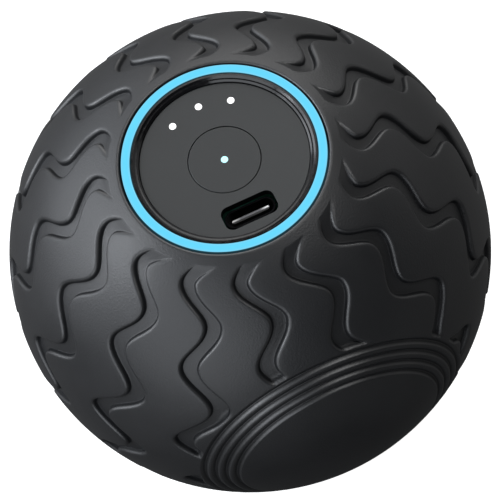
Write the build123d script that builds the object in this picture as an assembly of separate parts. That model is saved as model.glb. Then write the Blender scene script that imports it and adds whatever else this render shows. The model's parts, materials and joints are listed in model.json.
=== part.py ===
from build123d import *

import math
import os

# A vibrating massage ball: a one-piece silicone tread skin stretched over a hard two-part shell. Inside, a
# chassis carries a double-ended vibration motor and two lithium cells. On top, a well in the shell holds the
# control module with its light ring, panel, push button, indicator lights and charging port.
#
# Millimetres and degrees. Every shape is modelled about the ball's centre, with +Z up through the panel and
# -Y towards the smooth side pad. write() then lifts it, so that the origin is the middle of the small flat
# that it stands on.

# ---- driving dimensions ----
BALL_R = 43.0
FOOT_R = 4.0  # small flat at the bottom, which keeps the ball panel-up on a table
FOOT_Z = math.sqrt(BALL_R**2 - FOOT_R**2)  # how far the flat lies below the centre
GAP = 0.05  # clearance between parts that only touch
SKIN_T = 3.2
SHELL_T = 2.5
SHELL_R = BALL_R - SKIN_T - GAP
CAVITY_R = SHELL_R - SHELL_T
INSIDE_R = CAVITY_R - 1.0  # ball that the inner frame stays within
FAR = 4 * BALL_R  # longer than anything here: for cutting tools

# ---- tread ----
WAVES = 16
WAVE_STEP = 360 / WAVES
WAVE_DEPTH = 1.0
WAVE_DRAFT = 0.2  # how far each groove wall leans out on its way up
WAVE_WIDTH = 4.9  # a groove's width on the equator, in degrees of longitude
WAVE_TOP = 27.3  # polar angle where the grooves begin, below the collar round the panel
WAVE_RAMP = 6.5  # over this angle a groove's floor curves up to the surface at each end
WAVE_BOTTOM = 180 - WAVE_TOP
WAVE_FLARE = 5.5  # extra width of a groove's mouth at each end, on one side, in degrees of longitude
WAVE_FLARE_LENGTH = 4.5  # the mouth narrows to the groove's width over this angle
# Where one groove turns between the panel and the equator: polar angle, and longitude from its own meridian.
WAVE_TURNS = [(21.0, 7.0), (31.7, -6.0), (41.5, 4.9), (52.0, -2.5), (63.0, 5.7), (74.7, -4.1), (84.6, 5.4)]
WAVE_SHIFT = 0.7  # the lower half is the upper half turned over about the meridian at this longitude
STEPS_PER_SWING = 4

# ---- smooth side pad, round the -Y axis ----
PAD_EDGE = 35.4  # polar angle from the -Y axis where the tread grooves stop
PAD_RIPPLES = [34.2, 31.7, 29.2, 26.7]
RIPPLE_R = 0.8
RIPPLE_DEPTH = 0.6

# ---- control module, stacked down the Z axis ----
OPENING_R = 17.62
LAND_Z = 39.15  # flat land on the skin's lip, on which the ball stands when turned over
WELL_WALL = 1.6
RING_OUT_R = 17.4
RING_IN_R = 15.88
RING_Z = 38.9
RING_LEDS = 12
BEZEL_TOP = 38.75
BEZEL_GAP = 0.15  # shadow gap between the bezel and the light ring
# The bezel's stepped slope, down from its top land: radius and height of each corner.
BEZEL_STEPS = [(15.4, BEZEL_TOP), (15.05, 38.45), (14.8, 38.43), (14.5, 38.16)]
PANEL_R = 14.4
PANEL_Z = 37.9
PANEL_T = 1.6
BOARD_R = 17.25
BOARD_Z = 30.4  # top of the circuit board
BOARD_T = 1.2
LEDGE_T = 1.5
LEDGE_IN_R = 10.5
BOARD_SCREW_R = 12.4
BOARD_SCREW_ANGLES = [20, 160, 225, 315]
BUTTON_R = 6.2
BUTTON_SLOT = 0.12  # gap round the button
LEVEL_R = 11.07
LEVEL_ANGLES = [60.9, 90, 119.1]
DOT_R = 0.6
USB_Y = -10.43
USB_SLOT = (9.5, 4.4)
USB_SLOT_CORNER = 1.4
USB_SHELL = (8.94, 3.26)
USB_WALL = 0.3
USB_TONGUE = (6.69, 0.7)
SWITCH_Y = 4.8
PLUNGER_R = 1.6
SPRING_AT = [(4.7, -2.7), (-4.7, -2.7)]

# ---- motor along X, in the middle of the ball ----
MOTOR_R = 12.0
MOTOR_HALF = 13.0
CAN_WALL = 1.2
SHAFT_R = 1.5
SHAFT_HALF = 24.5
RUNNING = 0.02  # radial running clearance on the shaft
BUSH_OUT_R = 14.5
BUSH_X = 8.5
BUSH_W = 5.0
TUNNEL_R = 14.0
TUNNEL_HALF = 25.0
WEIGHT_R = 11.0
WEIGHT_T = 8.0
WEIGHT_X = 15.2  # where the weight begins
WEIGHT_HUB_R = 4.0

# ---- battery and frame ----
CELL_R = 7.0
CELL_HALF = 21.5
CELL_Y = 20.0
CELL_Z = -9.0
CHASSIS_TOP = -4.0
CHASSIS_BOTTOM = -18.0
CHASSIS_SIZE = (63.0, 56.0)
FLANGE_X = 25.5  # the chassis drops to its screw flanges beyond this
FLANGE_Z = -14.0
CLAMP_Z = (-1.5, 0.8)
CLAMP_WALL = 2.2
LEAD_NOTCH = (23.6, 21.2)  # where the battery leads pass the clamp plate
FLANGE_SCREWS = [(x, y) for x in (-29.0, 29.0) for y in (-9.0, 9.0)]
CLAMP_SCREWS = [(x, y) for x in (-24.5, 24.5) for y in (-16.0, 16.0)]
SHELL_SCREW_R = 32.0
SHELL_SCREWS = [(SHELL_SCREW_R, 0), (0, SHELL_SCREW_R), (-SHELL_SCREW_R, 0), (0, -SHELL_SCREW_R)]
SHELL_HEAD_Z = -12.0


# ---- helpers ----
def post(radius, low, high, x=0.0, y=0.0):
    """An upright cylinder between two heights."""
    return Pos(x, y, (low + high) / 2) * Cylinder(radius, high - low)


def ring(outer, inner, low, high):
    """An upright tube between two heights."""
    return post(outer, low, high) - post(inner, low - 1, high + 1)


def block(x, y, z):
    """A box from three (low, high) pairs."""
    middle = [(low + high) / 2 for low, high in (x, y, z)]
    return Pos(*middle) * Box(*[high - low for low, high in (x, y, z)])


def rod(radius, low, high, y=0.0, z=0.0):
    """A cylinder along X between two places."""
    return Pos((low + high) / 2, y, z) * Rot(Y=90) * Cylinder(radius, high - low)


def polar(radius, angle):
    """A point in the XY plane."""
    return radius * math.cos(math.radians(angle)), radius * math.sin(math.radians(angle))


def together(shapes):
    """Separate solids kept side by side in one node."""
    return Compound(children=[solid for shape in shapes for solid in shape.solids()])


def screw(x, y, seat, length, shank_r, head_r, head_t, down=True):
    """A pan-head cross-recess screw whose head sits on the height seat."""
    way = -1 if down else 1
    shank = post(shank_r, *sorted((seat, seat + way * length)), x, y)
    head = post(head_r, *sorted((seat, seat - way * head_t)), x, y)
    edge = head.edges().filter_by(GeomType.CIRCLE).sort_by(Axis.Z)[-1 if down else 0]
    head = fillet(edge, head_t * 0.35)
    top = seat - way * head_t
    arms = Box(head_r * 1.2, head_r * 0.25, head_t) + Box(head_r * 0.25, head_r * 1.2, head_t)
    return shank + head - Pos(x, y, top) * arms


# ---- tread skin ----
def on_ball(theta, longitude, radius):
    """A point at a polar angle from +Z and a longitude from -Y, in degrees."""
    t, p = math.radians(theta), math.radians(longitude)
    return Vector(math.sin(t) * math.sin(p), -math.sin(t) * math.cos(p), math.cos(t)) * radius


def wave_turns():
    lower = [(180 - theta, 2 * WAVE_SHIFT - side) for theta, side in reversed(WAVE_TURNS)]
    return WAVE_TURNS + lower


def wave_side(theta):
    """Longitude of a groove's centre line from its meridian: a cosine swing between turning points."""
    turns = wave_turns()
    for (t0, s0), (t1, s1) in zip(turns, turns[1:]):
        if theta <= t1:
            return s0 + (s1 - s0) * (1 - math.cos(math.pi * (theta - t0) / (t1 - t0))) / 2
    return turns[-1][1]


def wave_stations():
    """Polar angles at which a groove's walls are defined."""
    angles = [WAVE_TOP]
    turns = wave_turns()
    for (t0, _), (t1, _) in zip(turns, turns[1:]):
        step = (t1 - t0) / STEPS_PER_SWING
        angles += [t0 + i * step for i in range(STEPS_PER_SWING)]
    inner = [a for a in angles[1:] if WAVE_TOP + 1 < a < WAVE_BOTTOM - 1]
    return [WAVE_TOP] + inner + [WAVE_BOTTOM]


def wave_depth(theta):
    """Depth of a groove's floor below the ball's surface."""
    from_end = min(theta - WAVE_TOP, WAVE_BOTTOM - theta)
    left = 1 - min(1, from_end / WAVE_RAMP)
    return WAVE_DEPTH * (1 - left**2)


def wave_flare(theta, side):
    """Extra width of a groove's mouth, on its positive side at the top and its negative side at the bottom."""
    from_end = theta - WAVE_TOP if side > 0 else WAVE_BOTTOM - theta
    return WAVE_FLARE * max(0, 1 - from_end / WAVE_FLARE_LENGTH) ** 1.5


def wave_wall(meridian, side, height):
    """One long edge of a groove cutter: its floor's, or its top's when height is above the surface."""
    points = []
    for theta in wave_stations():
        round_r = math.sin(math.radians(theta))
        rise = height if height else -wave_depth(theta)
        lean = math.degrees(rise * WAVE_DRAFT / WAVE_DEPTH / (BALL_R * round_r))
        half = WAVE_WIDTH / 2 / math.sqrt(round_r) + lean + wave_flare(theta, side)
        points.append(on_ball(theta, meridian + wave_side(theta) + side * half, BALL_R + rise))
    return Edge.make_spline(points)


def wave_cutter(meridian):
    """A closed solid that cuts one groove: ruled walls between four splines, and two flat ends."""
    lower = [wave_wall(meridian, side, 0) for side in (-1, 1)]
    upper = [wave_wall(meridian, side, 1.0) for side in (-1, 1)]
    pairs = [lower, upper, (lower[0], upper[0]), (lower[1], upper[1])]
    faces = [Face.make_surface_from_curves(a, b) for a, b in pairs]
    for end in (0, 1):
        corners = [lower[0] @ end, lower[1] @ end, upper[1] @ end, upper[0] @ end]
        faces.append(Face(Wire(Polyline(*corners, close=True).edges())))
    return Solid(Shell(faces))


def side_pad_keep():
    """A cone about -Y that protects the side pad from the tread grooves."""
    length = FAR
    cone = Cone(0.01, length * math.tan(math.radians(PAD_EDGE)), length)
    return Rot(X=90) * Pos(0, 0, length / 2) * cone


def tread_skin():
    skin = Sphere(BALL_R) - Sphere(BALL_R - SKIN_T)
    skin -= post(OPENING_R, 0, FAR)
    skin -= post(BALL_R, LAND_Z, FAR)
    skin -= post(BALL_R, -FAR, -FOOT_Z)
    pad = side_pad_keep()
    for index in range(WAVES):
        meridian = WAVE_STEP * (index + 0.5)
        cutter = wave_cutter(meridian)
        from_pad = min(meridian, 360 - meridian)
        if from_pad < PAD_EDGE + WAVE_STEP / 2:
            cutter = cutter - pad
        skin -= cutter
    centre_r = BALL_R + RIPPLE_R - RIPPLE_DEPTH
    for angle in PAD_RIPPLES:
        away, out = polar(centre_r, 90 - angle)
        skin -= Pos(0, -out, 0) * Rot(X=90) * Torus(away, RIPPLE_R)
    return skin


# ---- hard shell ----
TONGUE_R = CAVITY_R + SHELL_T / 2
TONGUE_H = 1.5


def shell_half(way):
    """Half of the hollow shell above (way 1) or below (way -1) the parting plane."""
    half = block((-FAR, FAR), (-FAR, FAR), sorted((0, way * FAR)))
    return (Sphere(SHELL_R) - Sphere(CAVITY_R)) & half


def upper_shell():
    shell = shell_half(1)
    ledge_low = BOARD_Z - BOARD_T - LEDGE_T
    well = ring(OPENING_R + WELL_WALL, OPENING_R, ledge_low, FAR)
    well += ring(OPENING_R + WELL_WALL, LEDGE_IN_R, ledge_low, BOARD_Z - BOARD_T - GAP)
    well = well & Sphere(SHELL_R)
    shell = shell - post(OPENING_R, 0, FAR) + well
    bosses = [post(3.6, 0, FAR, x, y) & Sphere(CAVITY_R + 1) for x, y in SHELL_SCREWS]
    for boss in bosses:
        shell += boss
    for angle in BOARD_SCREW_ANGLES:
        x, y = polar(BOARD_SCREW_R, angle)
        shell += post(2.4, ledge_low - 3, ledge_low + 0.5, x, y)
        shell -= post(1.0, ledge_low - 3.5, FAR, x, y)
    for x, y in SHELL_SCREWS:
        shell -= post(1.25, -1, 9, x, y)
    return shell - ring(TONGUE_R + GAP, CAVITY_R - 1, -1, TONGUE_H + GAP)


def lower_shell():
    shell = shell_half(-1)
    boss_body = Sphere(CAVITY_R + 1)
    for x, y in SHELL_SCREWS:
        shell += post(4.2, -FAR, -GAP, x, y) & boss_body
    for x, y in FLANGE_SCREWS:
        shell += post(3.0, -FAR, CHASSIS_BOTTOM - GAP, x, y) & boss_body
    for x, y in SHELL_SCREWS:
        shell -= post(2.7, -FAR, SHELL_HEAD_Z, x, y)
        shell -= post(1.35, -FAR, 1, x, y)
    for x, y in FLANGE_SCREWS:
        shell -= post(1.25, CHASSIS_BOTTOM - 4.5, 0, x, y)
    return shell + ring(TONGUE_R, CAVITY_R, -1, TONGUE_H)


def shell_screws():
    return together([screw(x, y, SHELL_HEAD_Z, 20, 1.25, 2.4, 2.0, down=False) for x, y in SHELL_SCREWS])


# ---- frame ----
def chassis():
    half_x, half_y = CHASSIS_SIZE[0] / 2, CHASSIS_SIZE[1] / 2
    body = Sphere(INSIDE_R) & block((-half_x, half_x), (-half_y, half_y), (CHASSIS_BOTTOM, CHASSIS_TOP))
    for way in (-1, 1):
        ends = sorted((way * FLANGE_X, way * FAR))
        body -= block(ends, (-FAR, FAR), (FLANGE_Z, 0))
        trough = (CELL_Y - CELL_R - 0.2, CELL_Y + CELL_R + 0.2)
        body -= rod(CELL_R + 0.2, -CELL_HALF - 1, CELL_HALF + 1, way * CELL_Y, CELL_Z)
        body -= block((-CELL_HALF - 1, CELL_HALF + 1), sorted(way * y for y in trough), (CELL_Z, 0))
        body -= rod(BUSH_OUT_R, way * BUSH_X - BUSH_W / 2, way * BUSH_X + BUSH_W / 2)
    body -= rod(TUNNEL_R, -TUNNEL_HALF, TUNNEL_HALF)
    for x, y in SHELL_SCREWS:
        body -= post(5.2, -FAR, 0, x, y)
    for x, y in FLANGE_SCREWS:
        body -= post(1.4, -FAR, 0, x, y)
    for x, y in CLAMP_SCREWS:
        body -= post(1.25, CHASSIS_TOP - 8.5, 0, x, y)
    return body


def chassis_screws():
    return together([screw(x, y, FLANGE_Z, 7.5, 1.25, 2.4, 1.8) for x, y in FLANGE_SCREWS])


def motor_clamp():
    low, high = CLAMP_Z
    plate = block((-27.5, 27.5), (-26, 26), (low, high)) & Sphere(INSIDE_R)
    for x, y in SHELL_SCREWS:
        plate -= post(5.2, -FAR, FAR, x, y)
    arch_half = BUSH_X + BUSH_W / 2 + 1.5
    arch = rod(BUSH_OUT_R + CLAMP_WALL, -arch_half, arch_half) & block((-FAR, FAR), (-FAR, FAR), (low, FAR))
    body = plate + arch
    for x, y in CLAMP_SCREWS:
        body += post(2.8, CHASSIS_TOP + GAP, high, x, y)
    body -= rod(TUNNEL_R, -TUNNEL_HALF, TUNNEL_HALF)
    body -= block((-TUNNEL_HALF, TUNNEL_HALF), (-TUNNEL_R, TUNNEL_R), (low - 1, 0))
    for way in (-1, 1):
        body -= rod(BUSH_OUT_R, way * BUSH_X - BUSH_W / 2, way * BUSH_X + BUSH_W / 2)
    window_half = BUSH_X - BUSH_W / 2 - 1
    body -= block((-window_half, window_half), (-4, 4), (0, FAR))
    for x, y in CLAMP_SCREWS:
        body -= post(1.4, -FAR, FAR, x, y)
    x, y = LEAD_NOTCH
    for way in (-1, 1):
        across = sorted(way * side for side in (y - 1.5, y + 1.5))
        body -= block((-FAR, -x + 1.5), across, (low - 1, high + 1))
    return body


def clamp_screws():
    return together([screw(x, y, CLAMP_Z[1], 12.5, 1.25, 2.4, 1.8) for x, y in CLAMP_SCREWS])


def motor_bush(way):
    """A rubber ring that carries one end of the motor in the frame."""
    low, high = way * BUSH_X - BUSH_W / 2 + GAP, way * BUSH_X + BUSH_W / 2 - GAP
    return rod(BUSH_OUT_R - GAP, low, high) - rod(MOTOR_R + GAP, low - 1, high + 1)


# ---- motor ----
BEARING_R = 3.0
BEARING_X = (MOTOR_HALF - 1.8, MOTOR_HALF + 1.2)
CAP_T = 2.0
CORE_X = (-5.5, 7.5)
CORE_R = 8.5
POLES = 5
COMMUTATOR_R = 2.6
COMMUTATOR_X = (-10.6, -7.6)
BRUSH_GAP = 0.03


def motor_can():
    can = rod(MOTOR_R, -MOTOR_HALF + CAP_T, MOTOR_HALF)
    can -= rod(MOTOR_R - CAN_WALL, -MOTOR_HALF, MOTOR_HALF - CAN_WALL)
    can += rod(BEARING_R + 1.0, MOTOR_HALF - CAN_WALL, MOTOR_HALF + 0.8)
    return can - rod(BEARING_R, -MOTOR_HALF, MOTOR_HALF + 2)


def motor_end_cap():
    face = -MOTOR_HALF + CAP_T
    cap = rod(MOTOR_R, -MOTOR_HALF, face - GAP)
    spigot = rod(MOTOR_R - CAN_WALL - GAP, face - GAP, face + 1.8)
    cap += spigot - rod(MOTOR_R - CAN_WALL - 1.8, face - 1, face + 3)
    cap += rod(BEARING_R + 1.0, -MOTOR_HALF - 0.8, -MOTOR_HALF)
    for way in (-1, 1):
        cap -= block((face - CAP_T - 1, face + 1), sorted((way * 6.4, way * 7.4)), (-1.6, 1.6))
    return cap - rod(BEARING_R, -FAR, 0)


def motor_bearings():
    bushes = [rod(BEARING_R - GAP / 2, *sorted(way * x for x in BEARING_X)) for way in (-1, 1)]
    return together([bush - rod(SHAFT_R + RUNNING, -FAR / 4, FAR / 4) for bush in bushes])


def motor_magnets():
    low, high = CORE_X[0] - 1.5, CORE_X[1] + 1.5
    outer = MOTOR_R - CAN_WALL - GAP
    tube = rod(outer, low, high) - rod(CORE_R + 0.4, low - 1, high + 1)
    arcs = [tube & block((-FAR, FAR), (-7.5, 7.5), sorted((way * 1.0, way * FAR))) for way in (-1, 1)]
    return together(arcs)


def motor_shaft():
    shaft = rod(SHAFT_R, -SHAFT_HALF, SHAFT_HALF)
    return chamfer(shaft.edges().filter_by(GeomType.CIRCLE), 0.25)


def rotor_core():
    low, high = CORE_X
    core = rod(CORE_R, low, high) - rod(CORE_R - 1.2, low - 1, high + 1) + rod(3.2, low, high)
    for index in range(POLES):
        turn = Rot(X=360 / POLES * index)
        core += turn * block((low, high), (-1.2, 1.2), (2.5, CORE_R - 0.6))
        core -= turn * Rot(X=180 / POLES) * block((low - 1, high + 1), (-0.7, 0.7), (CORE_R - 2, FAR))
    return core - rod(SHAFT_R, -FAR, FAR)


def rotor_windings():
    """Five coils, one round each pole arm, standing a little proud of both faces of the core."""
    low, high = CORE_X
    coils = []
    for index in range(POLES):
        coil = block((low - 1.6, high + 1.6), (-2.3, 2.3), (4.0, 6.9))
        coil -= block((low, high), (-1.2 - GAP, 1.2 + GAP), (3, 8))
        coil = fillet(coil.edges().filter_by(Axis.Z).group_by(SortBy.DISTANCE)[-1], 0.9)
        coils.append(Rot(X=360 / POLES * index) * coil)
    return together(coils)


def commutator():
    low, high = COMMUTATOR_X
    body = rod(COMMUTATOR_R, low, high)
    for index in range(POLES):
        slit = block((low - 1, high + 1), (-0.15, 0.15), (COMMUTATOR_R - 0.5, FAR))
        body -= Rot(X=360 / POLES * index) * slit
    return body - rod(SHAFT_R, -FAR, FAR)


def motor_brushes():
    """Two carbon brushes, each on a brass leg that leaves through the end cap as a terminal."""
    low, high = COMMUTATOR_X
    middle = (low + high) / 2
    face = -MOTOR_HALF + CAP_T
    brushes = []
    for way in (-1, 1):
        near = COMMUTATOR_R + BRUSH_GAP
        carbon = block((middle - 0.8, middle + 0.8), sorted((way * near, way * 6.6)), (-0.7, 0.7))
        leg = block((face - CAP_T - 1.9, middle), sorted((way * 6.6, way * 7.2)), (-1.2, 1.2))
        brushes.append(carbon + leg)
    return together(brushes)


def eccentric_weight(way):
    """A half-disc weight on a round hub, hanging below the shaft at rest."""
    low, high = sorted((way * WEIGHT_X, way * (WEIGHT_X + WEIGHT_T)))
    disc = rod(WEIGHT_R, low, high) & block((-FAR, FAR), (-FAR, FAR), (-FAR, 0))
    rim = disc.edges().filter_by(GeomType.CIRCLE)
    weight = chamfer(rim, 0.6) + rod(WEIGHT_HUB_R, low, high)
    weight -= rod(SHAFT_R, -FAR, FAR)
    return weight - post(1.25, 0, FAR, way * (WEIGHT_X + WEIGHT_T / 2))


def weight_set_screws():
    screws = []
    for way in (-1, 1):
        x = way * (WEIGHT_X + WEIGHT_T / 2)
        body = post(1.25 - GAP / 5, SHAFT_R + GAP, WEIGHT_HUB_R - 0.3, x)
        socket = Pos(x, 0, WEIGHT_HUB_R - 0.3) * extrude(RegularPolygon(0.7, 6), -1.0)
        screws.append(body - socket)
    return together(screws)


# ---- battery ----
def battery_cell(way):
    body = rod(CELL_R, -CELL_HALF, CELL_HALF - 0.9, way * CELL_Y, CELL_Z)
    body = fillet(body.edges().filter_by(GeomType.CIRCLE), 0.7)
    return body + rod(2.8, CELL_HALF - 1.5, CELL_HALF, way * CELL_Y, CELL_Z)


def battery_tabs():
    """Nickel strips spot-welded on each end of both cells."""
    tabs = []
    for way in (-1, 1):
        for end in (-1, 1):
            x = sorted((end * (CELL_HALF + GAP), end * (CELL_HALF + 0.3)))
            y = (way * CELL_Y - 2.2, way * CELL_Y + 2.2)
            tabs.append(block(x, y, (CELL_Z - 2, CELL_Z + 6.2)))
    return together(tabs)


def battery_pads():
    """Foam strips between the cells and the clamp plate."""
    top = CELL_Z + CELL_R
    strips = []
    for way in (-1, 1):
        y = sorted((way * (CELL_Y - 2.5), way * (CELL_Y + 2.5)))
        strips.append(block((-14, 14), y, (top + GAP, CLAMP_Z[0] - GAP)))
    return together(strips)


def lead(points, radius=0.55):
    """A round wire through a few points."""
    path = Edge.make_spline([Vector(*point) for point in points])
    return sweep(Plane(path @ 0, z_dir=path % 0) * Circle(radius), path=path)


def battery_leads():
    """One wire from the outer end of each cell up to the board's battery socket."""
    wires = []
    for way in (-1, 1):
        start = (-CELL_HALF - 0.9, way * CELL_Y, CELL_Z + 5.6)
        through_clamp = (-LEAD_NOTCH[0], way * LEAD_NOTCH[1], 0)
        middle = (-21.0, way * 16.0, 12.0)
        above = (-11.0, way * 6.5, 21.5)
        wires.append(lead([start, through_clamp, middle, above, (-6.0, way * 1.0, 25.4)]))
    return together(wires)


def motor_leads():
    """Two wires from the motor's terminals up to the board's motor socket."""
    wires = []
    for way in (-1, 1):
        start = (-MOTOR_HALF - 0.7, way * 7.9, 0)
        rise = (-MOTOR_HALF - 0.6, way * 13.4, 8.5)
        over_motor = (-4.0, way * 9.0, 19.5)
        above = (4.0, way * 2.0, 23.0)
        wires.append(lead([start, rise, over_motor, above, (6.0, way * 1.0, 25.4)], 0.45))
    return together(wires)


# ---- control module ----
def main_board():
    board = post(BOARD_R, BOARD_Z - BOARD_T, BOARD_Z)
    for angle in BOARD_SCREW_ANGLES:
        board -= post(1.1, 0, FAR, *polar(BOARD_SCREW_R, angle))
    return board


def board_screws():
    places = [polar(BOARD_SCREW_R, angle) for angle in BOARD_SCREW_ANGLES]
    return together([screw(x, y, BOARD_Z, 4.8, 1.0 - GAP / 5, 1.8, 1.3) for x, y in places])


def board_sockets():
    """Battery and motor sockets under the board, inside the ledge's opening."""
    under = BOARD_Z - BOARD_T
    return together([block((x - 2.5, x + 2.5), (-3, 3), (under - 3.2, under)) for x in (-6, 6)])


def board_chips():
    """Controller, radio module, charger and motor driver, with a row of small passives."""
    controller = (-8.5, -3.5, 5, 5, 0.9)
    radio = (8.6, -3.0, 5, 6, 1.4)
    charger = (7.3, 3.6, 4, 4, 0.8)
    driver = (-7.6, 3.4, 3, 4, 1.0)
    passives = [(-5.6 + 1.6 * i, 10.9 + 1.9 * (i % 2), 1.0, 0.6, 0.5) for i in (0, 1, 2, 5, 6, 7)]
    chips = []
    for x, y, length, width, height in [controller, radio, charger, driver] + passives:
        sides = (x - length / 2, x + length / 2), (y - width / 2, y + width / 2)
        chips.append(block(*sides, (BOARD_Z, BOARD_Z + height)))
    return together(chips)


def ring_leds():
    """Light chips evenly round the board, under the light ring."""
    middle_r = (RING_IN_R + RING_OUT_R) / 2
    chips = []
    for index in range(RING_LEDS):
        chip = block((middle_r - 0.55, middle_r + 0.55), (-1.0, 1.0), (BOARD_Z, BOARD_Z + 0.7))
        chips.append(Rot(Z=360 / RING_LEDS * (index + 0.5)) * chip)
    return together(chips)


def indicator_leds():
    """A light chip under the button's dot and under each level dot."""
    places = [(0, 0)] + [polar(LEVEL_R, angle) for angle in LEVEL_ANGLES]
    upright = (BOARD_Z, BOARD_Z + 0.6)
    return together([block((x - 0.8, x + 0.8), (y - 0.5, y + 0.5), upright) for x, y in places])


def usb_sketch(width, height, corner):
    return Pos(0, USB_Y) * RectangleRounded(width, height, corner)


def usb_shell():
    outer = usb_sketch(*USB_SHELL, USB_SHELL[1] / 2 - 0.01)
    inner = usb_sketch(*[side - 2 * USB_WALL for side in USB_SHELL], USB_SHELL[1] / 2 - USB_WALL - 0.01)
    tube = extrude(outer, 6.5) - extrude(inner, 7)
    return Pos(0, 0, BOARD_Z) * tube


def usb_core():
    """The insulator block at the bottom of the port with its contact tongue."""
    inner = usb_sketch(*[side - 2 * USB_WALL - 2 * GAP for side in USB_SHELL], 1.2)
    base = extrude(inner, 1.4)
    tongue = extrude(Pos(0, USB_Y) * RectangleRounded(*USB_TONGUE, 0.3), 5.6)
    return Pos(0, 0, BOARD_Z) * (base + tongue)


def tact_switch():
    body = block((-3, 3), (SWITCH_Y - 3, SWITCH_Y + 3), (BOARD_Z, BOARD_Z + 3.5))
    body = fillet(body.edges().filter_by(Axis.Z), 0.5)
    return body - post(PLUNGER_R + GAP, BOARD_Z + 2.6, FAR, 0, SWITCH_Y)


PLUNGER_TOP = BOARD_Z + 4.9
FLANGE_T = 0.8
BUTTON_UNDER = PANEL_Z - PANEL_T - GAP - FLANGE_T


def tact_plunger():
    body = post(PLUNGER_R, BOARD_Z + 3.0, PLUNGER_TOP, 0, SWITCH_Y)
    return chamfer(body.edges().sort_by(Axis.Z)[-1], 0.3)


def power_button():
    """A disc flush with the panel, a retaining flange under it, and a stem over the switch."""
    disc = post(BUTTON_R - BUTTON_SLOT / 2, BUTTON_UNDER, PANEL_Z)
    disc = fillet(disc.edges().sort_by(Axis.Z)[-1], 0.15)
    button = disc + post(BUTTON_R + 1.0, BUTTON_UNDER, BUTTON_UNDER + FLANGE_T)
    button += post(PLUNGER_R, PLUNGER_TOP + 0.02, BUTTON_UNDER + 0.1, 0, SWITCH_Y)
    return button - post(DOT_R + 0.02, 0, FAR) - post(1.3 + GAP, 0, PANEL_Z - 1.2)


def light_pipe(x, y, foot):
    """A clear pin, flush at the top, with a wider foot that gathers the chip's light."""
    return post(DOT_R, BOARD_Z + 1.6, PANEL_Z, x, y) + post(1.2, BOARD_Z + 1.6, foot, x, y)


def power_light_pipe():
    return light_pipe(0, 0, PANEL_Z - 1.3)


def level_light_pipes():
    places = [polar(LEVEL_R, angle) for angle in LEVEL_ANGLES]
    return together([light_pipe(x, y, PANEL_Z - PANEL_T - GAP) for x, y in places])


def button_springs():
    """Two coil springs between the board and the button's flange."""
    height = BUTTON_UNDER - BOARD_Z
    wire = 0.14
    coils = []
    for x, y in SPRING_AT:
        turn = Helix(pitch=(height - 2 * wire - 0.04) / 5, height=height - 2 * wire - 0.04, radius=0.9)
        coil = sweep(Plane(turn @ 0, z_dir=turn % 0) * Circle(wire), path=turn)
        coils.append(Pos(x, y, BOARD_Z + wire + 0.02) * coil)
    return together(coils)


def control_panel():
    low = PANEL_Z - PANEL_T
    panel = post(PANEL_R, low, PANEL_Z)
    panel = chamfer(panel.edges().sort_by(Axis.Z)[-1], 0.08)
    panel -= post(BUTTON_R + BUTTON_SLOT / 2, 0, FAR)
    panel -= Pos(0, 0, low - 1) * extrude(usb_sketch(*USB_SLOT, USB_SLOT_CORNER), 4)
    for angle in LEVEL_ANGLES:
        panel -= post(DOT_R + 0.02, 0, FAR, *polar(LEVEL_R, angle))
    return panel


def bezel_ring():
    """The stepped inner ring. It stands on the board and carries the panel on a seat inside."""
    low, seat = BOARD_Z + 0.02, PANEL_Z - PANEL_T - 0.02
    wall_in, wall_out = PANEL_R + GAP, RING_IN_R - BEZEL_GAP
    outline = Polyline(
        (wall_out, low),
        (wall_out, BEZEL_TOP),
        *BEZEL_STEPS,
        (wall_in, PANEL_Z + 0.05),
        (wall_in, seat),
        (wall_in - 1.3, seat),
        (wall_in - 1.3, seat - 1.0),
        (wall_in, seat - 2.0),
        (wall_in, low),
        close=True,
    )
    return revolve(Plane.XZ * make_face(outline), Axis.Z)


def light_ring():
    """The translucent ring whose flat top glows, lit from below by the ring chips."""
    tube = ring(RING_OUT_R, RING_IN_R, BOARD_Z + 1.0, RING_Z)
    edges = tube.edges().filter_by(GeomType.CIRCLE).group_by(Axis.Z)[-1]
    return chamfer(edges, 0.08)


# ---- every node, and where it goes ----
NODES = {
    "tread_skin": tread_skin,
    "upper_shell": upper_shell,
    "lower_shell": lower_shell,
    "shell_screws": shell_screws,
    "chassis": chassis,
    "chassis_screws": chassis_screws,
    "motor_clamp": motor_clamp,
    "clamp_screws": clamp_screws,
    "motor_bush_left": lambda: motor_bush(-1),
    "motor_bush_right": lambda: motor_bush(1),
    "motor_can": motor_can,
    "motor_end_cap": motor_end_cap,
    "motor_bearings": motor_bearings,
    "motor_magnets": motor_magnets,
    "motor_brushes": motor_brushes,
    "motor_shaft": motor_shaft,
    "rotor_core": rotor_core,
    "rotor_windings": rotor_windings,
    "commutator": commutator,
    "eccentric_weight_left": lambda: eccentric_weight(-1),
    "eccentric_weight_right": lambda: eccentric_weight(1),
    "weight_set_screws": weight_set_screws,
    "battery_cell_front": lambda: battery_cell(-1),
    "battery_cell_rear": lambda: battery_cell(1),
    "battery_tabs": battery_tabs,
    "battery_pads": battery_pads,
    "battery_leads": battery_leads,
    "motor_leads": motor_leads,
    "main_board": main_board,
    "board_screws": board_screws,
    "board_sockets": board_sockets,
    "board_chips": board_chips,
    "ring_leds": ring_leds,
    "indicator_leds": indicator_leds,
    "usb_shell": usb_shell,
    "usb_core": usb_core,
    "tact_switch": tact_switch,
    "tact_plunger": tact_plunger,
    "power_button": power_button,
    "power_light_pipe": power_light_pipe,
    "level_light_pipes": level_light_pipes,
    "button_springs": button_springs,
    "control_panel": control_panel,
    "bezel_ring": bezel_ring,
    "light_ring": light_ring,
}


def write():
    os.makedirs("parts", exist_ok=True)
    for node, make in NODES.items():
        export_step(Pos(0, 0, FOOT_Z) * make(), f"parts/{node}.step")


write()
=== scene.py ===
import json
import math

import bmesh
import bpy
import numpy as np
from mathutils import Matrix, Vector


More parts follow.
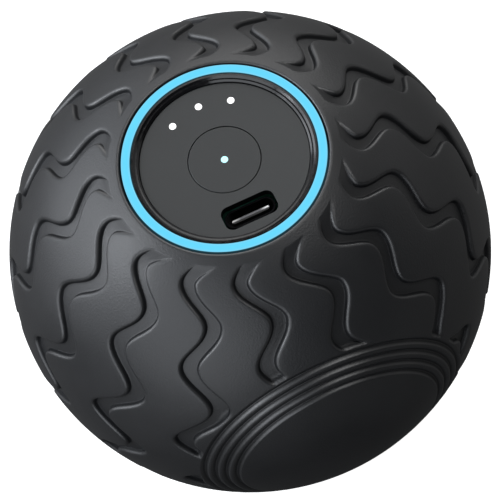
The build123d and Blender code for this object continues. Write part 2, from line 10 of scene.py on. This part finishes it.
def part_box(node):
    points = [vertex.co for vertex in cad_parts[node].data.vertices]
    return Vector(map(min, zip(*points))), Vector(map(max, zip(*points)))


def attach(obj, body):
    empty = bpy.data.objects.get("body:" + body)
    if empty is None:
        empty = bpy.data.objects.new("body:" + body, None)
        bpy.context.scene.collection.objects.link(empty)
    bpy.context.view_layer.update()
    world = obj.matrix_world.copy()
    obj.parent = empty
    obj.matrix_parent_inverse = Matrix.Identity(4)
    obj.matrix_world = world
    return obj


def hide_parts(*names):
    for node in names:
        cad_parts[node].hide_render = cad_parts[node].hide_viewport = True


# Looks of a vibrating massage ball, built round its CAD frame.
# Lengths are metres, except in the skin's geometry and where a comment says millimetres.

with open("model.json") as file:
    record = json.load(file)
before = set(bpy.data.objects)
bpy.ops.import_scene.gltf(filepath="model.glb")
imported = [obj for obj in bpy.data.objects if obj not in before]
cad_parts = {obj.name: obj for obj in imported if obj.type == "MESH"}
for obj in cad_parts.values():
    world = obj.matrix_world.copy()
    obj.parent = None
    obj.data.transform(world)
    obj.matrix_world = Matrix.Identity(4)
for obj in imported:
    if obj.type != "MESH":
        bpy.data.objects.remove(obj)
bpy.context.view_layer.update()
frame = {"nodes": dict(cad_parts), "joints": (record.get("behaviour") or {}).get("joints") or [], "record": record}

MM = 0.001
skin_low, skin_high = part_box("tread_skin")
BALL_R = round((skin_high.x - skin_low.x) / 2 / MM, 1)  # millimetres, as is all the skin's geometry
CENTRE = Vector(next(joint["pos_m"] for joint in frame["joints"] if joint["name"] == "rotor_spin"))
FOOT_Z = (CENTRE.z - skin_low.z) / MM  # the small flat that the ball stands on lies this far below the centre
SKIN_T = 3.2  # the skin's thickness

# ---- tread: the same wave as the CAD skin's ----
WAVES = 16
WAVE_STEP = 360 / WAVES
WAVE_TOP = 27.3
WAVE_BOTTOM = 180 - WAVE_TOP
WAVE_FLARE = 5.5  # extra width of a groove's mouth at each end, on one side, in degrees of longitude
WAVE_FLARE_LENGTH = 4.5  # from a groove's end, in degrees
WAVE_RAMP = 6.5  # from a groove's end to its full depth, in degrees
WAVE_WIDTH = 4.9  # of a groove at the equator, in degrees of longitude
WAVE_SHIFT = 0.7  # longitude of the wave where it crosses the equator
# Polar angle and longitude of each turn of the wave, down to the equator.
WAVE_TURNS = [(21.0, 7.0), (31.7, -6.0), (41.5, 4.9), (52.0, -2.5), (63.0, 5.7), (74.7, -4.1), (84.6, 5.4)]
WAVE_DEPTH = 1.0
# Section through a groove's wall: distance outwards from its nominal top edge, and depth.
WALL = [
    (-0.46, 1.00),
    (-0.38, 0.985),
    (-0.32, 0.93),
    (-0.27, 0.82),
    (-0.20, 0.60),
    (-0.13, 0.42),
    (-0.04, 0.26),
    (0.07, 0.14),
    (0.20, 0.06),
    (0.34, 0.015),
    (0.50, 0.0),
]
BETWEEN = [0.2, 0.45, 0.72]  # extra columns from a groove's edge to the middle of the block beside it

# ---- rows of the skin's mesh; angles and steps are degrees ----
COLLAR_ROWS = 6
COLLAR_END = 0.2  # above the grooves' upper ends
TREAD_START = 0.1  # above the grooves' upper ends
TREAD_END = 0.15  # below the grooves' lower ends
TREAD_ROW_STEP = 0.4
WALLS_REACH = 0.5  # how far past the grooves' ends the columns still slant with the wave
CAP_START = 0.6  # below the grooves' lower ends
CAP_ROWS = 20
FOOT_RINGS = (0.96, 0.5)  # radii of the flat foot's rings, as shares of its own
INSIDE_ROWS = 28
INSIDE_END = 178
RIPPLE_ROW_STEP = 0.16
RIPPLE_ROWS_END = 25.3
DOME_SPAN = (24.5, 1.0, 1.5)  # first, last and step of the smooth dome's rows, from the pad's axis

# ---- smooth side pad, round the -Y axis ----
PAD_EDGE = 35.4
PAD_WALL = (35.4, 36.5)  # the grooves' end walls climb between these angles
PAD_RIPPLES = [34.2, 31.7, 29.2, 26.7]
RIPPLE_HALF = 1.06
RIPPLE_DEPTH = 0.6
RIM_WELD = 0.03  # points of the cut's rim closer than this become one

# ---- opening for the panel ----
OPENING_R = 17.64
LIP_ROUND = 0.45  # radius of the skin's rounded lip round the opening
LIP_TOP_R = OPENING_R + LIP_ROUND
LIP_ARC = (18, 36, 54, 72, 90, 103)  # where the lip's round has rows, in degrees from its inner wall
WALL_ROW_Z = 37.4  # height of the row half way up the opening's wall
COLLAR_TOP = math.degrees(math.asin(LIP_TOP_R / (BALL_R - LIP_ROUND)))  # polar angle where the lip starts


def wave_side(theta):
    """Longitude of a groove's centre line from its meridian."""
    turns = WAVE_TURNS + [(180 - t, 2 * WAVE_SHIFT - s) for t, s in reversed(WAVE_TURNS)]
    angles = np.array([t for t, _ in turns])
    sides = np.array([s for _, s in turns])
    at = np.clip(np.searchsorted(angles, theta, side="right") - 1, 0, len(turns) - 2)
    share = np.clip((theta - angles[at]) / (angles[at + 1] - angles[at]), 0, 1)
    return sides[at] + (sides[at + 1] - sides[at]) * (1 - np.cos(np.pi * share)) / 2


def smoothstep(x, low, high):
    t = np.clip((x - low) / (high - low), 0, 1)
    return t * t * (3 - 2 * t)


def pad_angle(points):
    """Angle of points from the -Y axis, in degrees."""
    return np.degrees(np.arccos(np.clip(-points[..., 1] / np.linalg.norm(points, axis=-1), -1, 1)))


def wave_flare(from_end):
    """Extra width of a groove's mouth, in degrees of longitude, at angles from its end."""
    return WAVE_FLARE * np.clip(1 - from_end / WAVE_FLARE_LENGTH, 0, 1) ** 1.5


def wall_columns(reach, slope, room):
    """Columns across one side of a groove: (distance from its centre line, depth). room is the side's whole
    width, and reach is where the groove's nominal edge lies."""
    slant = np.sqrt(1 + slope**2)
    wall = [(reach + away * slant, deep) for away, deep in WALL]
    bed = (wall[0][0] / 2, WAVE_DEPTH)
    edge = wall[-1][0]
    beyond = [(edge + (room - edge) * share, 0.0) for share in BETWEEN]
    return [bed] + wall + beyond


def tread_grid():
    """Rows of points down the ball from the collar to the bottom. Columns follow the groove walls."""
    collar = np.linspace(COLLAR_TOP, WAVE_TOP - COLLAR_END, COLLAR_ROWS)
    tread = np.arange(WAVE_TOP - TREAD_START, WAVE_BOTTOM + TREAD_END, TREAD_ROW_STEP)
    foot = 180 - math.degrees(math.acos(FOOT_Z / BALL_R))
    cap = np.linspace(WAVE_BOTTOM + CAP_START, foot, CAP_ROWS)
    theta = np.concatenate([collar, tread, cap])
    across = np.sin(np.radians(theta))
    mm_per_degree = BALL_R * across * math.pi / 180
    half = WAVE_WIDTH / 2 / np.sqrt(across)
    inside = (theta > WAVE_TOP - WALLS_REACH) & (theta < WAVE_BOTTOM + WALLS_REACH)
    mouth_right = wave_flare(np.maximum(theta - WAVE_TOP, 0))
    mouth_left = wave_flare(np.maximum(WAVE_BOTTOM - theta, 0))
    slope_right = np.gradient(wave_side(theta) + mouth_right, theta) * across * inside
    slope_left = np.gradient(wave_side(theta) - mouth_left, theta) * across * inside
    block = WAVE_STEP / 2 * mm_per_degree
    # How far the seam between one groove's columns and the next's is moved, to leave a wide mouth room.
    shift = (mouth_right - mouth_left) / 2 * mm_per_degree

    right = wall_columns((half + mouth_right) * mm_per_degree, slope_right, block + shift)
    left = wall_columns((half + mouth_left) * mm_per_degree, slope_left, block - shift)
    left = [(-at, deep) for at, deep in reversed(left)]
    columns = [(shift - block, 0.0)] + left + [(0 * block, WAVE_DEPTH)] + right
    across_mm = np.stack([np.broadcast_to(at, theta.shape) for at, _ in columns], axis=1)
    offset = across_mm / mm_per_degree[:, None]
    deep = np.array([d for _, d in columns])

    climb = np.clip(np.minimum(theta - WAVE_TOP, WAVE_BOTTOM - theta) / WAVE_RAMP, 0, 1)
    ramp = 1 - (1 - climb) ** 2
    meridians = WAVE_STEP * (np.arange(WAVES) + 0.5)
    longitude = wave_side(theta)[:, None, None] + meridians[None, :, None] + offset[:, None, :]
    longitude = longitude.reshape(len(theta), -1)
    depth = np.tile(ramp[:, None] * deep[None, :], (1, WAVES))
    t, p = np.radians(theta)[:, None], np.radians(longitude)
    out = np.stack([np.sin(t) * np.sin(p), -np.sin(t) * np.cos(p), np.cos(t) + 0 * p], axis=-1)
    depth = depth * smoothstep(pad_angle(out), *PAD_WALL)
    return out * (BALL_R - depth)[..., None]


def level_ring(radius, height, heading):
    """Points of a level ring at some headings round the Z axis."""
    return np.stack([radius * np.cos(heading), radius * np.sin(heading), 0 * heading + height], axis=-1)


def lip_rows(first):
    """Rows from the skin's inside face, up the opening's wall and over its rounded lip."""
    corner_z = math.sqrt((BALL_R - LIP_ROUND) ** 2 - LIP_TOP_R**2)
    inner_r = BALL_R - SKIN_T
    wall_low = math.sqrt(inner_r**2 - OPENING_R**2)
    section = [(OPENING_R, wall_low), (OPENING_R, WALL_ROW_Z), (OPENING_R, corner_z)]
    for angle in np.radians(LIP_ARC):
        section.append((LIP_TOP_R - LIP_ROUND * math.cos(angle), corner_z + LIP_ROUND * math.sin(angle)))
    heading = np.arctan2(first[:, 1], first[:, 0])
    return np.array([level_ring(r, z, heading) for r, z in section])


def join_rings(bm, upper, lower):
    """A band of quads between two rings of vertices."""
    for i in range(len(upper)):
        j = (i + 1) % len(upper)
        bm.faces.new((upper[i], lower[i], lower[j], upper[j]))


def add_rows(bm, rows, first=None):
    """Bands of quads from rows of points that close on themselves. first is a ring of vertices above them."""
    rings = [first] if first else []
    rings += [[bm.verts.new(point) for point in row] for row in rows]
    for upper, lower in zip(rings, rings[1:]):
        join_rings(bm, upper, lower)
    return rings


def close_ring(bm, ring, point):
    """A fan of triangles from a ring of vertices to a point."""
    tip = bm.verts.new(point)
    for i, vert in enumerate(ring):
        bm.faces.new((vert, tip, ring[(i + 1) % len(ring)]))


def ripple_depth(angle):
    """Depth of the pad's ripples at angles from its axis."""
    depth = np.zeros_like(angle)
    for middle in PAD_RIPPLES:
        x = np.clip((angle - middle) / RIPPLE_HALF, -1, 1)
        depth = np.maximum(depth, RIPPLE_DEPTH * (0.5 + 0.5 * np.cos(math.pi * x)))
    return depth


def cut_rim(bm, cut_y):
    """Open edge of the tread where the pad's cut went through it."""
    return [v for v in bm.verts if abs(v.co.y - cut_y) < 1e-3 and v.is_boundary]


def add_pad(bm):
    """Cuts the tread off round the -Y axis and fills the cut with a finely ringed dome."""
    cut_y = -BALL_R * math.cos(math.radians(PAD_EDGE))
    geometry = bm.verts[:] + bm.edges[:] + bm.faces[:]
    bmesh.ops.bisect_plane(
        bm, geom=geometry, dist=1e-5, plane_co=(0, cut_y, 0), plane_no=(0, -1, 0), clear_outer=True
    )
    bmesh.ops.remove_doubles(bm, verts=cut_rim(bm, cut_y), dist=RIM_WELD)
    rim = cut_rim(bm, cut_y)
    rim.sort(key=lambda v: math.atan2(v.co.z, v.co.x))
    heading = np.array([math.atan2(v.co.z, v.co.x) for v in rim])
    rippled = np.arange(PAD_EDGE - RIPPLE_ROW_STEP, RIPPLE_ROWS_END, -RIPPLE_ROW_STEP)
    start, end, step = DOME_SPAN
    rings = np.concatenate([rippled, np.arange(start, end, -step)])
    radius = BALL_R - ripple_depth(rings)
    rows = []
    for angle, reach in zip(np.radians(rings), radius):
        side, along = reach * math.sin(angle), -reach * math.cos(angle)
        rows.append(np.stack([side * np.cos(heading), 0 * heading + along, side * np.sin(heading)], axis=-1))
    made = add_rows(bm, rows, first=rim)
    close_ring(bm, made[-1], (0, -BALL_R, 0))


def finish_mesh(bm, name):
    """Turns millimetres round the ball's centre into metres in the row frame, and makes the object."""
    bmesh.ops.recalc_face_normals(bm, faces=bm.faces[:])
    for face in bm.faces:
        face.smooth = True
    mesh = bpy.data.meshes.new(name)
    bm.to_mesh(mesh)
    bm.free()
    mesh.transform(Matrix.Translation(CENTRE) @ Matrix.Scale(MM, 4))
    piece = bpy.data.objects.new(name, mesh)
    bpy.context.scene.collection.objects.link(piece)
    return piece


def build_skin():
    grid = tread_grid()
    bm = bmesh.new()
    tread = add_rows(bm, grid)
    flat = add_rows(bm, [grid[-1] * (share, share, 1) for share in FOOT_RINGS], first=tread[-1])
    close_ring(bm, flat[-1], (0, 0, -FOOT_Z))
    add_pad(bm)
    lip = add_rows(bm, lip_rows(grid[0]))
    join_rings(bm, lip[-1], tread[0])
    inner_r = BALL_R - SKIN_T
    start = math.degrees(math.asin(OPENING_R / inner_r))
    heading = np.arctan2(grid[0][:, 1], grid[0][:, 0])
    rows = []
    for theta in np.radians(np.linspace(start, INSIDE_END, INSIDE_ROWS)[1:]):
        rows.append(level_ring(inner_r * math.sin(theta), inner_r * math.cos(theta), heading))
    inside = add_rows(bm, rows, first=lip[0])
    close_ring(bm, inside[-1], (0, 0, -inner_r))
    return finish_mesh(bm, "silicone_skin")


# ---- materials; their lengths are millimetres ----
SHEEN = 0.5
# the grooves' walls get a lower sheen as painted shade, and their top edges a higher one as a painted highlight
WALL_PAINTED_SHADE_SHEEN = 0.12
EDGE_PAINTED_HIGHLIGHT_SHEEN = 0.8
PAINTED_LIGHT_DEPTHS = (0.55, 0.2)  # depths from which a groove's wall is fully dulled as painted shade, and down to which its edge shines as a painted highlight
STEEP = (0.8, 0.975)  # cosines of the slopes from which the skin counts as steep, and up to which as level; only steep parts get the painted shade and highlight
SILICONE_COLORS = ((0.0085, 0.0090, 0.0100), (0.0115, 0.0120, 0.0130))
HOLE_PAINTED_SHADE_DEPTHS = (0.25, 0.1)  # depths under the panel's face from which a hole's wall is painted black as painted shade, and down to which not
UNLIT = 0.05  # sheen of a hole's wall in its painted shade, and share of the glow on the light ring's side walls
GLOW_GRAIN = 700
RING_BAND = (15.885, 17.395)  # radii between which the light ring glows, so that its side walls stay dark
RING_SHADE = 0.06  # over which the glow fades at the band's two edges
RING_EDGE = 0.45  # width of the paler light along each of its edges
TONGUE_GLINT_ENDS = (1.8, 3.0)  # the painted glint on the charging port's tongue turns pale between these distances from its middle
TONGUE_GLINT_SHIFT = 0.15  # of the painted glint from the tongue's middle, away from the pad
TONGUE_GLINT_HALF_WIDTH = 0.2  # half-width of the painted glint along the tongue


class Nodes:
    """Shorthand for building a material's node tree."""

    def __init__(self, name):
        self.material = bpy.data.materials.new(name)
        self.material.use_nodes = True
        self.tree = self.material.node_tree
        self.tree.nodes.clear()
        self.out = self.add("ShaderNodeOutputMaterial")
        self.coordinates = self.add("ShaderNodeTexCoord").outputs["Object"]

    def add(self, kind, **values):
        node = self.tree.nodes.new(kind)
        for key, value in values.items():
            setattr(node, key, value)
        return node

    def link(self, source, target):
        self.tree.links.new(source, target)

    def noise(self, scale, detail=2.0):
        node = self.add("ShaderNodeTexNoise")
        self.link(self.coordinates, node.inputs["Vector"])
        node.inputs["Scale"].default_value = scale
        node.inputs["Detail"].default_value = detail
        return node.outputs["Fac"]

    def spread(self, source, low, high, start=0.3, end=0.7):
        """Goes from low to high as the source goes from start to end, and no further."""
        node = self.add("ShaderNodeMapRange")
        self.link(source, node.inputs["Value"])
        for key, value in (("From Min", start), ("From Max", end), ("To Min", low), ("To Max", high)):
            node.inputs[key].default_value = value
        return node.outputs["Result"]

    def mix(self, factor, low, high):
        """Blends two colours, each a tuple or another node's output."""
        node = self.add("ShaderNodeMix", data_type="RGBA")
        self.link(factor, node.inputs["Factor"])
        for key, color in (("A", low), ("B", high)):
            if isinstance(color, bpy.types.NodeSocket):
                self.link(color, node.inputs[key])
            else:
                node.inputs[key].default_value = (*color, 1)
        return node.outputs["Result"]

    def number(self, value):
        node = self.add("ShaderNodeValue")
        node.outputs["Value"].default_value = value
        return node.outputs["Value"]

    def combine(self, first, second, operation="MULTIPLY"):
        node = self.add("ShaderNodeMath", operation=operation)
        self.link(first, node.inputs[0])
        self.link(second, node.inputs[1])
        return node.outputs["Value"]

    def from_axis(self):
        """Distance from the ball's upright axis, in metres."""
        return self.vector("LENGTH", self.vector("MULTIPLY", self.coordinates, (1, 1, 0)))

    def along(self, axis):
        """Position along one axis, in metres."""
        apart = self.add("ShaderNodeSeparateXYZ")
        self.link(self.coordinates, apart.inputs[0])
        return apart.outputs[axis]

    def size_of(self, value):
        node = self.add("ShaderNodeMath", operation="ABSOLUTE")
        self.link(value, node.inputs[0])
        return node.outputs["Value"]

    def vector(self, operation, first, second=None):
        node = self.add("ShaderNodeVectorMath", operation=operation)
        self.link(first, node.inputs[0])
        if isinstance(second, bpy.types.NodeSocket):
            self.link(second, node.inputs[1])
        elif second is not None:
            node.inputs[1].default_value = second
        return node.outputs["Value" if operation in ("LENGTH", "DOT_PRODUCT") else "Vector"]

    def bump(self, height, distance, strength):
        node = self.add("ShaderNodeBump")
        self.link(height, node.inputs["Height"])
        node.inputs["Distance"].default_value = distance
        node.inputs["Strength"].default_value = strength
        return node.outputs["Normal"]

    def surface(self, **values):
        """A Principled surface. A value may be a number, a colour or another node's output."""
        shader = self.add("ShaderNodeBsdfPrincipled")
        for key, value in values.items():
            socket = shader.inputs[key.replace("_", " ")]
            if isinstance(value, bpy.types.NodeSocket):
                self.link(value, socket)
            elif isinstance(value, tuple):
                socket.default_value = (*value, 1)
            else:
                socket.default_value = value
        self.link(shader.outputs["BSDF"], self.out.inputs["Surface"])


def tint(color, factor):
    return tuple(min(1.0, c * factor) for c in color)


def silicone(name):
    """Matte silicone: a fine grain, faint cloudiness and a soft sheen, raised on the grooves' top edges as a
    painted highlight and lowered nearly to nothing on their walls as painted shade."""
    n = Nodes(name)
    outward = n.vector("SUBTRACT", n.coordinates, tuple(CENTRE))
    reach = n.vector("LENGTH", outward)
    normal = n.add("ShaderNodeNewGeometry").outputs["Normal"]
    facing = n.vector("DOT_PRODUCT", n.vector("NORMALIZE", outward), normal)
    # painted shade deep on the grooves' walls, painted highlight on their steep top edges
    painted_shade_share = n.spread(reach, 1, 0, *((BALL_R - deep) * MM for deep in PAINTED_LIGHT_DEPTHS))
    steep = n.spread(facing, 1, 0, *STEEP)
    painted_sheen_change = n.spread(painted_shade_share, EDGE_PAINTED_HIGHLIGHT_SHEEN - SHEEN, WALL_PAINTED_SHADE_SHEEN - SHEEN, 0, 1)
    sheen = n.combine(n.combine(steep, painted_sheen_change), n.number(SHEEN), "ADD")
    cloud = n.noise(90, 3)
    grain = n.noise(3000, 2)
    n.surface(
        Base_Color=n.mix(n.spread(cloud, 0, 1), *SILICONE_COLORS),
        Roughness=n.spread(cloud, 0.43, 0.47),
        Specular_IOR_Level=sheen,
        Normal=n.bump(grain, 0.00004, 0.8),
    )
    return n.material


def plastic(name, color, rough, grain_scale=4000, grain=0.00001, variation=0.12, face=None):
    """Moulded plastic: a fine spark-eroded grain, grain metres deep, and slight colour variation. face is the
    height of its top face; the walls of the holes below that are painted black and dull, as painted shade."""
    n = Nodes(name)
    cloud = n.noise(160, 3)
    fine = n.noise(grain_scale, 2)
    base = n.mix(n.spread(cloud, 0, 1), tint(color, 1 - variation), tint(color, 1 + variation))
    sheen = SHEEN
    if face:
        # painted shade: the walls of the holes below the face turn black and lose their sheen
        top = n.spread(n.along("Z"), 0, 1, *(face - below * MM for below in HOLE_PAINTED_SHADE_DEPTHS))
        base = n.mix(top, tint(color, 0.1), base)
        sheen = n.spread(top, UNLIT, SHEEN, 0, 1)
    n.surface(
        Base_Color=base,
        Specular_IOR_Level=sheen,
        Roughness=n.spread(fine, rough - 0.05, rough + 0.05),
        Normal=n.bump(fine, grain, 0.7),
    )
    return n.material


def metal(name, color, rough, stretch=(1, 1, 12), scale=900):
    """Drawn or ground metal: grain stretched along one axis. A stretch of ones leaves a cast grain."""
    n = Nodes(name)
    mapping = n.add("ShaderNodeMapping")
    mapping.inputs["Scale"].default_value = stretch
    n.link(n.coordinates, mapping.inputs["Vector"])
    n.coordinates = mapping.outputs["Vector"]
    grain = n.noise(scale, 4)
    base = n.mix(n.spread(grain, 0, 1), tint(color, 0.85), tint(color, 1.1))
    n.surface(
        Base_Color=base,
        Metallic=1.0,
        Roughness=n.spread(grain, max(0.05, rough - 0.08), rough + 0.08),
        Normal=n.bump(grain, 0.000004, 0.5),
    )
    return n.material


def glow(name, color, strength, base):
    """A lit translucent moulding: even light with a faint grain."""
    n = Nodes(name)
    cloud = n.noise(GLOW_GRAIN, 2)
    n.surface(
        Base_Color=base,
        Roughness=0.5,
        Specular_IOR_Level=0.1,
        Emission_Color=n.mix(n.spread(cloud, 0, 1), tint(color, 0.97), color),
        Emission_Strength=n.spread(cloud, strength * 0.98, strength),
    )
    return n.material


def ring_glow(name, middle, edge, base):
    """The light ring: lit on its top face only, and paler along its two edges."""
    n = Nodes(name)
    reach = n.from_axis()
    inner, outer = (radius * MM for radius in RING_BAND)
    rim, soft = RING_EDGE * MM, RING_SHADE * MM
    near = n.spread(reach, 1, 0, inner, inner + rim)
    far = n.spread(reach, 0, 1, outer - rim, outer)
    light = n.mix(n.combine(near, far, "ADD"), middle, edge)
    power = n.spread(n.noise(GLOW_GRAIN, 2), 0.98, 1.0)
    power = n.combine(power, n.spread(reach, UNLIT, 1, inner, inner + soft))
    power = n.combine(power, n.spread(reach, 1, UNLIT, outer - soft, outer))
    n.surface(
        Base_Color=base,
        Roughness=0.5,
        Specular_IOR_Level=0.1,
        Emission_Color=light,
        Emission_Strength=power,
    )
    return n.material


def port_tongue_glint(name, shade, middle, ends):
    """The charging port's insulator: dark, with a painted glint along its tongue's edge that is palest at both
    ends.
    """
    n = Nodes(name)
    low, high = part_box("usb_core")
    across = n.combine(n.along("Y"), n.number((low.y + high.y) / 2 + TONGUE_GLINT_SHIFT * MM), "SUBTRACT")
    # painted glint: a thin pale line along the tongue's edge, palest towards both ends
    edge = n.spread(n.size_of(across), 1, 0, TONGUE_GLINT_HALF_WIDTH * MM * 0.6, TONGUE_GLINT_HALF_WIDTH * MM)
    pale = n.spread(n.size_of(n.along("X")), 0, 1, *(at * MM for at in TONGUE_GLINT_ENDS))
    lit = n.mix(pale, middle, ends)
    fine = n.noise(4000, 2)
    base = n.mix(edge, shade, lit)
    n.surface(Base_Color=base, Roughness=n.spread(fine, 0.3, 0.4), Normal=n.bump(fine, 0.00001, 0.7))
    return n.material


def assign(obj, material):
    obj.data.materials.clear()
    obj.data.materials.append(material)
    for polygon in obj.data.polygons:
        polygon.material_index = 0


def slot_material(slot):
    """A procedural material from the record's own slot, for nodes that have none written for them."""
    color = tuple(slot["base_color"][:3])
    kind = slot["class"]
    name = "look_" + slot["slot"]
    if kind in ("brushed_steel", "aluminium", "brass"):
        return metal(name, color, rough=0.32)
    if kind == "cast_iron":
        return metal(name, color, rough=0.6, stretch=(1, 1, 1), scale=2500)
    if kind == "rubber":
        return plastic(name, color, rough=0.75, grain_scale=2500, grain=0.00002)
    return plastic(name, color, rough=0.35 if kind == "gloss_plastic" else 0.6)


def shown_looks():
    """Materials written for the slots that show from outside."""
    panel_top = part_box("control_panel")[1].z
    return {
        "light_cyan": ring_glow(
            "look_light_cyan", middle=(0.12, 0.66, 0.95), edge=(0.20, 0.65, 0.88), base=(0.01, 0.03, 0.04)
        ),
        "dot_white": glow("look_dot_white", (1.0, 1.0, 1.0), strength=1.6, base=(0.3, 0.3, 0.3)),
        "dot_cyan": glow("look_dot_cyan", (0.50, 0.95, 1.0), strength=1.3, base=(0.1, 0.2, 0.2)),
        # the panel's hole walls get painted shade below its top face
        "panel_plastic": plastic(
            "look_panel_plastic", (0.0115, 0.0130, 0.0135), rough=0.5, variation=0.04, face=panel_top
        ),
        "button_plastic": plastic(
            "look_button_plastic", (0.0105, 0.0120, 0.0125), rough=0.5, variation=0.04
        ),
        # the port's steel shell is darkened nearly to black as painted shade, so that the slot shows dark
        "port_steel": metal("look_port_steel", (0.004, 0.004, 0.0045), rough=0.5),
        "port_core": port_tongue_glint(
            "look_port_core", shade=(0.004, 0.004, 0.004), middle=(0.10, 0.10, 0.105), ends=(0.75, 0.75, 0.74)
        ),
        "bezel_plastic": plastic(
            "look_bezel_plastic", (0.004, 0.004, 0.0045), rough=0.16, grain_scale=1500, grain=0.0000003
        ),
    }


def dress_nodes():
    record = frame["record"]
    looks = shown_looks()
    for slot in record["materials"]:
        if slot["slot"] not in looks:
            looks[slot["slot"]] = slot_material(slot)
    for part in record["subparts"]:
        assign(frame["nodes"][part["node"]], looks[part["material_slot"]])


# ---- stage, lights and camera ----
CAMERA_RANGE = 12 * BALL_R * MM
CAMERA_ELEVATION = math.radians(65.05)
CAMERA_HEADING = Vector((-0.1668, -0.9860, 0)).normalized()
CAMERA_ROLL = math.radians(15.63)
CAMERA_SHIFT = (-0.0005, 0.00308)  # across and up, as shares of the frame's width
LENS = 207.5  # millimetres, as is the sensor
SENSOR = 36.0
LIGHT_RANGE = 0.7
# Name, direction along the camera's right, up and towards-camera axes, diameter, watts.
LIGHTS = [
    ("left_softbox", (-0.95, 0.16, 0.26), 0.81, 4.2),
    ("left_front", (-0.85, 0.01, 0.53), 0.20, 2.0),
    ("top", (-0.05, 0.98, 0.17), 0.81, 4.2),
    ("front_right", (0.22, 0.46, 0.86), 0.20, 1.7),
    ("back_left", (-0.85, 0.52, -0.06), 0.81, 2.35),
    ("back_right", (0.85, 0.51, -0.09), 0.81, 0.65),
    ("low_left", (-0.41, -0.63, 0.66), 0.81, 3.85),
]
COOL = (0.94, 0.98, 1.04)
NEUTRAL = (1.0, 1.0, 1.0)
COOL_SIDE = -0.3  # lights that stand further to the left than this are cool
# Light that the floor throws back on the ball: in its shade, in front of the pad, and outside it.
FLOOR_GLOW = (0.05, 0.19)
SHADE_CENTRE = (-0.01, -0.07, 0.0)
SHADE_REACH = (0.03, 0.15)
FLOOR_HALF = 3.0
FLOOR_SEEN = 0.92  # light added to the floor as the camera sees it
FLOOR_COLORS = ((0.40, 0.40, 0.40), (0.44, 0.44, 0.44))
WORLD_LIGHT = 0.01


def camera_axes():
    away = CAMERA_HEADING * math.cos(CAMERA_ELEVATION) + Vector((0, 0, math.sin(CAMERA_ELEVATION)))
    up = (Vector((0, 0, 1)) - away * away.z).normalized()
    right = up.cross(away)
    turned_up = up * math.cos(CAMERA_ROLL) + right * math.sin(CAMERA_ROLL)
    turned_right = right * math.cos(CAMERA_ROLL) - up * math.sin(CAMERA_ROLL)
    return turned_right, turned_up, away


def place(obj, at, axes):
    right, up, away = axes
    obj.matrix_world = Matrix.Translation(at) @ Matrix((right, up, away)).transposed().to_4x4()
    bpy.context.scene.collection.objects.link(obj)


def add_camera():
    data = bpy.data.cameras.new("camera")
    data.lens = LENS
    data.sensor_width = SENSOR
    data.shift_x, data.shift_y = CAMERA_SHIFT
    data.clip_start = 0.01
    data.clip_end = 20
    camera = bpy.data.objects.new("camera", data)
    axes = camera_axes()
    place(camera, CENTRE + axes[2] * CAMERA_RANGE, axes)
    bpy.context.scene.camera = camera


def add_light(name, direction, size, power, color):
    """An area light aimed at the ball. direction is in the camera's right, up and towards-camera axes."""
    right, up, away = camera_axes()
    toward = (right * direction[0] + up * direction[1] + away * direction[2]).normalized()
    data = bpy.data.lights.new(name, "AREA")
    data.shape = "DISK"
    data.size = size
    data.energy = power
    data.color = color
    light = bpy.data.objects.new(name, data)
    side = Vector((0, 0, 1)).cross(toward).normalized()
    place(light, CENTRE + toward * LIGHT_RANGE, (side, toward.cross(side), toward))


def add_floor():
    """A pale floor that throws less light back from near the ball, so that the ball's dark side is dark."""
    bm = bmesh.new()
    bmesh.ops.create_grid(bm, x_segments=8, y_segments=8, size=FLOOR_HALF)
    mesh = bpy.data.meshes.new("floor")
    bm.to_mesh(mesh)
    bm.free()
    floor = bpy.data.objects.new("floor", mesh)
    bpy.context.scene.collection.objects.link(floor)
    n = Nodes("look_floor")
    path = n.add("ShaderNodeLightPath")
    seen = n.add("ShaderNodeEmission")
    seen.inputs["Color"].default_value = (1, 1, 1, 1)
    seen.inputs["Strength"].default_value = FLOOR_SEEN
    plain = n.add("ShaderNodeBsdfDiffuse")
    n.link(n.mix(n.noise(3), *FLOOR_COLORS), plain.inputs["Color"])
    lit = n.add("ShaderNodeAddShader")
    n.link(plain.outputs["BSDF"], lit.inputs[0])
    n.link(seen.outputs["Emission"], lit.inputs[1])
    bounced = n.add("ShaderNodeEmission")
    bounced.inputs["Color"].default_value = (1, 1, 1, 1)
    from_shade = n.vector("LENGTH", n.vector("SUBTRACT", n.coordinates, SHADE_CENTRE))
    n.link(n.spread(from_shade, *FLOOR_GLOW, *SHADE_REACH), bounced.inputs["Strength"])
    either = n.add("ShaderNodeMixShader")
    n.link(path.outputs["Is Camera Ray"], either.inputs["Fac"])
    n.link(bounced.outputs["Emission"], either.inputs[1])
    n.link(lit.outputs["Shader"], either.inputs[2])
    n.link(either.outputs["Shader"], n.out.inputs["Surface"])
    assign(floor, n.material)


def add_world():
    world = bpy.data.worlds.new("studio")
    world.use_nodes = True
    background = world.node_tree.nodes["Background"]
    background.inputs["Color"].default_value = (1, 1, 1, 1)
    background.inputs["Strength"].default_value = WORLD_LIGHT
    bpy.context.scene.world = world


def main():
    dress_nodes()
    skin = build_skin()
    assign(skin, silicone("look_skin"))
    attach(skin, "ball")
    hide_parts("tread_skin")
    add_floor()
    add_world()
    add_camera()
    for name, direction, size, power in LIGHTS:
        add_light(name, direction, size, power, COOL if direction[0] < COOL_SIDE else NEUTRAL)
    bpy.context.scene.view_settings.view_transform = "Standard"
    bpy.context.scene.view_settings.look = "None"


main()
